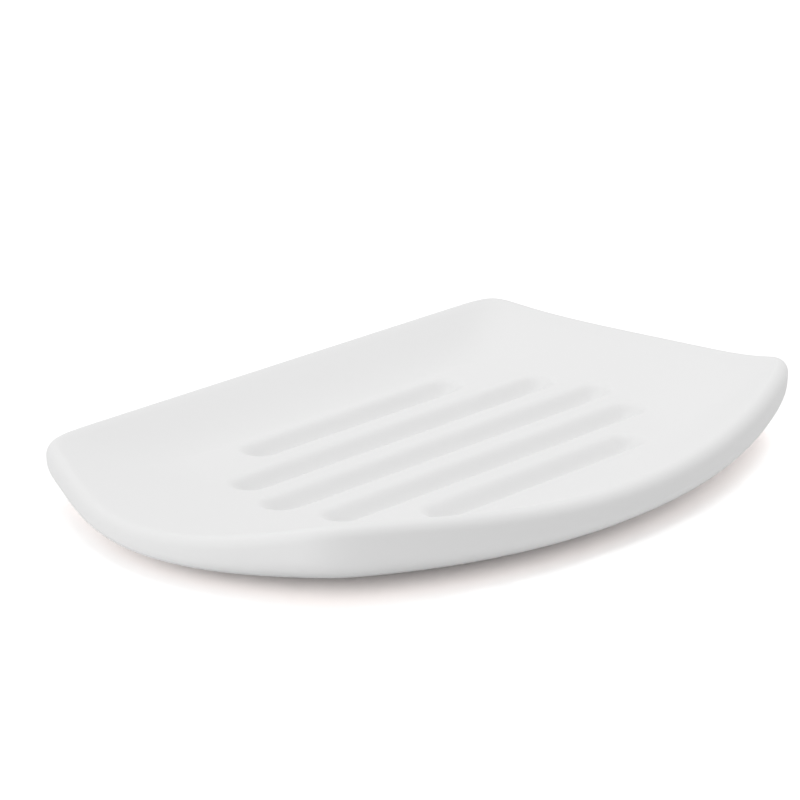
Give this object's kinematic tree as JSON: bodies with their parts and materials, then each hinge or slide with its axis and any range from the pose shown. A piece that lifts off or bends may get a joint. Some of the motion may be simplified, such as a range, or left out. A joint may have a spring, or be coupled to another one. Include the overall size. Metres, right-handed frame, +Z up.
{
  "type": "soap dish",
  "caption": "Shallow D-shaped soap dish with a straight back edge, a swept rim and drain grooves, standing on soft foot pads.",
  "frame": {"origin": "under the middle of the dish's outline, on the surface that its foot pads stand on", "axes": "+X along the drain grooves, +Y towards the straight back edge, +Z up"},
  "size_m": [0.1368, 0.0866, 0.0143],
  "materials": {
    "dish": "satin",
    "pads": "matte"
  },
  "bodies": {
    "root": {"dish_body": "dish", "foot_pad_front_left": "pads", "foot_pad_front_right": "pads", "foot_pad_back_left": "pads", "foot_pad_back_right": "pads"}
  },
  "joints": []
}
